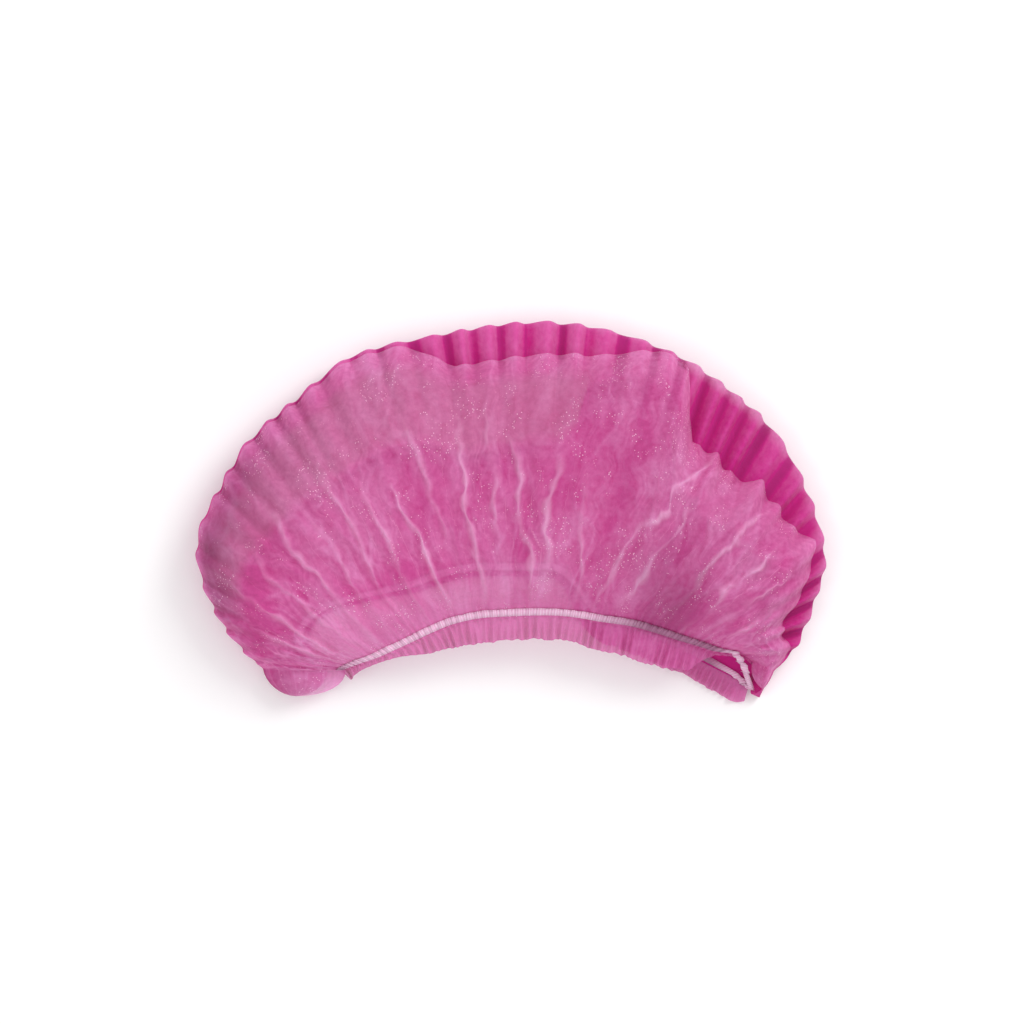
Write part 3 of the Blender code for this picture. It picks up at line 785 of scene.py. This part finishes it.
def stretched(tree, coordinates, width, length):
    """Return coordinates divided by a width along the cap and a length up its wall."""
    made = node(tree, "ShaderNodeVectorMath", operation="MULTIPLY")
    made.inputs[1].default_value = (1 / width, 1 / length, 1 / width)
    tree.links.new(coordinates, made.inputs[0])
    return made.outputs[0]


def total(tree, value, weights):
    """Return the sum of named sockets, each times its weight."""
    result = None
    for name, weight in weights.items():
        term = math_node(tree, "MULTIPLY", value[name], weight)
        result = term if result is None else math_node(tree, "ADD", result, term)
    return result


def point_value(tree, name):
    """Return the socket of a value that the mesh's points carry."""
    return node(tree, "ShaderNodeAttribute", attribute_name=name).outputs["Fac"]


def cloth_patterns(tree):
    """Return the sockets of the cloth's values by name, those of its fine marks too."""
    value = {name: point_value(tree, name) for name in CLOTH_VALUES}
    veil = value["veil"]
    place = node(tree, "ShaderNodeTexCoord").outputs["Object"]
    laid = node(tree, "ShaderNodeAttribute", attribute_name="laid").outputs["Vector"]

    value["grain"] = math_node(tree, "SUBTRACT", noise_node(tree, place, GRAIN_SIZE, 2.0, 0.6), 0.5)
    value["fibre"] = noise_node(tree, place, FIBRE_SIZE, 0.0)

    long_marks = noise_node(tree, stretched(tree, laid, STREAK_WIDTH, STREAK_LENGTH), 1.0, 2.0)
    streak = math_node(tree, "SUBTRACT", long_marks, 0.5)
    value["lines"] = math_node(tree, "MULTIPLY", streak, mix_value(tree, 0.10, 0.34, veil))

    specks = node(tree, "ShaderNodeTexVoronoi", Scale=1 / BOND_PITCH)
    tree.links.new(place, specks.inputs["Vector"])
    dots = ramp(tree, specks.outputs["Distance"], 0.24, 0.12)
    value["glint"] = math_node(tree, "MULTIPLY", dots, math_node(tree, "MULTIPLY", value["glints"], veil))

    aside = math_node(tree, "ABSOLUTE", value["line"], 0.0)
    aside = math_node(tree, "ADD", aside, math_node(tree, "MULTIPLY", value["grain"], LINE_WANDER))
    aside = math_node(tree, "DIVIDE", aside, mix_value(tree, SLIM_LINE, BROAD_LINE, value["slim"]))
    value["crisp"] = math_node(tree, "MULTIPLY", ramp(tree, aside, 1.0, 0.1), value["crisp"])
    return value


def cloth_material(name, deep, pale, opaque, veiled):
    """Thin spunbond cloth: translucent, mottled, with pale creases partly painted as sheen, glinting bond
    points, and painted light and shade in its colour.
    """
    material = bpy.data.materials.new(name)
    material.use_nodes = True
    tree = material.node_tree
    shader = tree.nodes["Principled BSDF"]
    output = tree.nodes["Material Output"]
    value = cloth_patterns(tree)
    veil = value["veil"]

    least = mix_value(tree, 0.0, LEAST_VEIL, veil)
    paleness = math_node(tree, "MAXIMUM", total(tree, value, PALENESS), least)
    colour = colour_mix(tree, deep, pale, paleness)
    # Pale crease lines: whitened folds with painted sheen
    creased = math_node(tree, "MULTIPLY", value["crisp"], CREASE_TINT)
    colour = colour_mix(tree, colour, CREASE_WHITENING_AND_SHEEN, creased)
    # Painted shade over the band, where the tuck's layers stack
    band_shade = math_node(tree, "MULTIPLY", value["band"], BAND_SHADE_AMOUNT)
    colour = colour_mix(tree, colour, BAND_SHADE_COLOUR, band_shade)
    # Painted shade of the patches, the far wall and the ruffles' valleys
    colour = colour_mix(tree, colour, SHADE_COLOUR, total(tree, value, SHADE))
    colour = colour_mix(tree, colour, GLINT_COLOUR, value["glint"])
    tree.links.new(colour, shader.inputs["Base Color"])
    shader.inputs["Roughness"].default_value = 0.78
    shader.inputs["Specular IOR Level"].default_value = 0.28
    shader.inputs["Sheen Weight"].default_value = 0.2
    shader.inputs["Sheen Roughness"].default_value = 0.4

    bump = node(tree, "ShaderNodeBump", Strength=0.6, Distance=0.0012)
    tree.links.new(total(tree, value, RELIEF), bump.inputs["Height"])
    tree.links.new(bump.outputs["Normal"], shader.inputs["Normal"])

    glow = node(tree, "ShaderNodeBsdfTranslucent")
    tree.links.new(colour, glow.inputs["Color"])
    tree.links.new(bump.outputs["Normal"], glow.inputs["Normal"])
    thin = node(tree, "ShaderNodeMixShader")
    thin.inputs["Fac"].default_value = TRANSLUCENCE
    tree.links.new(shader.outputs["BSDF"], thin.inputs[1])
    tree.links.new(glow.outputs["BSDF"], thin.inputs[2])

    cover = math_node(tree, "ADD", mix_value(tree, opaque, veiled, veil), total(tree, value, COVER))
    holes = node(tree, "ShaderNodeBsdfTransparent", Color=SEEN_THROUGH)
    see = node(tree, "ShaderNodeMixShader")
    tree.links.new(ramp(tree, cover, -0.12, 1.12), see.inputs["Fac"])
    tree.links.new(holes.outputs["BSDF"], see.inputs[1])
    tree.links.new(thin.outputs["Shader"], see.inputs[2])
    tree.links.new(see.outputs["Shader"], output.inputs["Surface"])
    return material


def elastic_material(name):
    """Knitted elastic: lilac with fine ribs across it."""
    material = bpy.data.materials.new(name)
    material.use_nodes = True
    tree = material.node_tree
    shader = tree.nodes["Principled BSDF"]
    turns = math_node(tree, "MULTIPLY", point_value(tree, "along"), 2 * math.pi / RIB_PITCH)
    ribs = math_node(tree, "SINE", turns, 0.0)
    colour = colour_mix(tree, ELASTIC_GROOVE, ELASTIC_RIB, mix_value(tree, 0.0, 1.0, ribs))
    # Painted shade over one stretch of the elastic
    colour = colour_mix(tree, colour, ELASTIC_SHADE, point_value(tree, "painted_elastic_shade"))
    tree.links.new(colour, shader.inputs["Base Color"])
    shader.inputs["Roughness"].default_value = 0.6
    bump = node(tree, "ShaderNodeBump", Strength=0.5, Distance=0.0003)
    tree.links.new(ribs, bump.inputs["Height"])
    tree.links.new(bump.outputs["Normal"], shader.inputs["Normal"])
    return material


def make_crown(cap, material):
    """Build the pleated cloth."""
    points = cap.with_ends(cap.points)
    attributes = {name: cap.with_ends(getattr(cap, name)) for name in (*CLOTH_VALUES, "laid")}
    piece = grid_mesh("crown_cloth", points, attributes)
    piece.data.materials.append(material)
    return piece


def make_frill(cap, material):
    """Build the gathered frill beyond the elastic."""
    grids = []
    for side, hem, strip, frill in (("near", cap.points[0], cap.points[2], cap.frill),
                                    ("far", cap.points[-1], cap.points[-3], cap.far_frill)):
        along = np.gradient(hem[:, :2], axis=0)
        along = along / np.linalg.norm(along, axis=1, keepdims=True)
        away = np.stack([along[:, 1], -along[:, 0]], axis=-1)
        flip = np.sign(np.sum(away * (hem - strip)[:, :2], axis=1))
        away = away * flip[:, None]
        arc = np.concatenate([[0], np.cumsum(np.linalg.norm(np.diff(hem[:, :2], axis=0), axis=1))])
        phase = 0.0 if side == "near" else 9.0
        wave = np.sin(2 * math.pi * arc / FRILL_PITCH + 2.2 * noise_at(arc / 0.010, phase))
        ragged = 1 + 0.10 * noise_at(arc / 0.006, phase + 3) + 0.06 * noise_at(arc / 0.002, phase + 5)
        ends = np.clip(np.minimum(cap.stations, 1 - cap.stations) / 0.04, 0, 1)
        grid = []
        for row in range(FRILL_ROWS + 1):
            share = row / FRILL_ROWS
            length = frill * share * ragged
            rise = FRILL_WAVE * wave * share ** 0.7 * (0.4 + 0.6 * ends)
            droop = -FRILL_DROOP * share * share if side == "near" else 0.0
            lean = FRILL_LEAN * share * noise_at(arc / 0.003, phase + 7)
            flat = hem[:, :2] + away * length[:, None] + along * lean[:, None]
            height = np.maximum(hem[:, 2] + rise + droop, FLOOR_CLEARANCE)
            grid.append(np.concatenate([flat, height[:, None]], axis=1))
        grids.append(np.array(grid))
    points = np.concatenate([grids[0], grids[1][:, ::-1]], axis=1)
    veil = np.ones(points.shape[:2]) * 0.55
    plain = np.zeros(points.shape[:2])
    laid = np.stack([np.broadcast_to(np.linspace(0, 0.8, points.shape[1]), points.shape[:2]),
                     np.broadcast_to(np.linspace(0, 0.012, points.shape[0])[:, None], points.shape[:2]),
                     plain], axis=-1)
    attributes = {name: plain for name in CLOTH_VALUES}
    attributes.update(veil=veil, laid=laid)
    piece = grid_mesh("frill_cloth", points, attributes, closed=True)
    piece.data.materials.append(material)
    return piece


def make_elastic(cap, material):
    """Build the elastic: a thin ribbed band on the outer face of the hem strip."""
    loops = []
    slack = np.clip((cap.stations - SLACK_START) / (1 - SLACK_START), 0, 1)[:, None] ** 0.8
    crumple = SLACK_CRUMPLE * np.stack(
        [noise_at(cap.stations * 190, 5.0 * axis, 81.0) for axis in range(3)], axis=-1)
    base = np.array([0, 0, ELASTIC_SEAT])
    top = np.array([0, 0, ELASTIC_SEAT + ELASTIC_THICKNESS])
    for hem, strip, drop in ((cap.points[0], cap.points[2], NEAR_SLACK),
                             (cap.points[-1], cap.points[-3], FAR_SLACK)):
        inward = strip - hem
        inward = inward / np.linalg.norm(inward, axis=1, keepdims=True)
        low = hem + inward * ELASTIC_INSET + slack * (crumple + drop)
        high = hem + inward * (ELASTIC_INSET + ELASTIC_WIDTH) + slack * (crumple + drop)
        middle = (low + high) / 2 + top * 1.1
        loops.append(np.stack([low + base, low + top, middle, high + top, high + base]))
    points = np.concatenate([loops[0], loops[1][:, ::-1]], axis=1)
    points[..., 2] = np.maximum(points[..., 2], FLOOR_CLEARANCE)
    arc = np.concatenate([[0], np.cumsum(np.linalg.norm(np.diff(points[2], axis=0), axis=1))])
    along = np.broadcast_to(arc, points.shape[:2])
    points = np.concatenate([points, points[:1]])
    along = np.concatenate([along, along[:1]])
    along_x = points[..., 0]
    # Painted shade over one stretch of the elastic
    painted_elastic_shade = (np.clip((along_x - ELASTIC_SHADE_START) / ELASTIC_SHADE_RAMP, 0, 1)
            * np.clip((ELASTIC_SHADE_END - along_x) / ELASTIC_SHADE_FADE, 0, 1) * SUNK_SHADE)
    piece = grid_mesh("elastic_braid", points, {"along": along, "painted_elastic_shade": painted_elastic_shade}, closed=True)
    piece.data.materials.append(material)
    return piece


def make_floor():
    """Lay a pale plain floor."""
    mesh = bpy.data.meshes.new("floor")
    corners = [(-FLOOR_HALF, -FLOOR_HALF, 0), (FLOOR_HALF, -FLOOR_HALF, 0),
               (FLOOR_HALF, FLOOR_HALF, 0), (-FLOOR_HALF, FLOOR_HALF, 0)]
    mesh.from_pydata(corners, [], [(0, 1, 2, 3)])
    piece = bpy.data.objects.new("floor", mesh)
    bpy.context.scene.collection.objects.link(piece)
    material = bpy.data.materials.new("floor_paper")
    material.use_nodes = True
    shader = material.node_tree.nodes["Principled BSDF"]
    shader.inputs["Base Color"].default_value = FLOOR_COLOUR
    shader.inputs["Roughness"].default_value = 0.9
    mesh.materials.append(material)


def add_light(light):
    """Add a soft area light aimed at the cap."""
    lamp = bpy.data.lights.new(light.name, "AREA")
    lamp.shape = "SQUARE"
    lamp.size = light.size
    lamp.energy = light.power
    holder = bpy.data.objects.new(light.name, lamp)
    holder.location = light.spot
    holder.rotation_euler = (-Vector(light.spot)).to_track_quat("-Z", "Y").to_euler()
    bpy.context.scene.collection.objects.link(holder)


def make_light():
    """Light the scene softly all round, with a key from the upper right and a weak fill from the left."""
    world = bpy.data.worlds.new("studio")
    world.use_nodes = True
    world.node_tree.nodes["Background"].inputs["Color"].default_value = (1, 1, 1, 1)
    world.node_tree.nodes["Background"].inputs["Strength"].default_value = WORLD_STRENGTH
    bpy.context.scene.world = world
    for light in LIGHTS:
        add_light(light)


def make_camera():
    """Look straight down at the cap, with the photograph's frame."""
    camera = bpy.data.cameras.new("camera")
    camera.sensor_width = 36.0
    camera.lens = camera.sensor_width * CAMERA_DISTANCE / (PHOTO_PIXELS * METRES_PER_PIXEL)
    holder = bpy.data.objects.new("camera", camera)
    x, y, height = CAMERA_TARGET
    holder.location = (x, y, CAMERA_DISTANCE + height)
    bpy.context.scene.collection.objects.link(holder)
    bpy.context.scene.camera = holder


def main():
    """Dress the frame."""
    bpy.context.scene.view_settings.view_transform = "Standard"
    cap = Cap()
    crown = make_crown(cap, cloth_material("crown_look", CROWN_DEEP, CROWN_PALE, opaque=0.95, veiled=0.56))
    frill = make_frill(cap, cloth_material("frill_look", FRILL_DEEP, FRILL_PALE, opaque=0.9, veiled=0.65))
    elastic = make_elastic(cap, elastic_material("elastic_look"))
    for piece, name, slot in ((crown, "crown", "pink_nonwoven"), (frill, "hem_frill", "pink_frill"),
                              (elastic, "elastic_band", "lilac_elastic")):
        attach(piece, "root")
        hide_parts(name)
    make_floor()
    make_light()
    make_camera()


main()
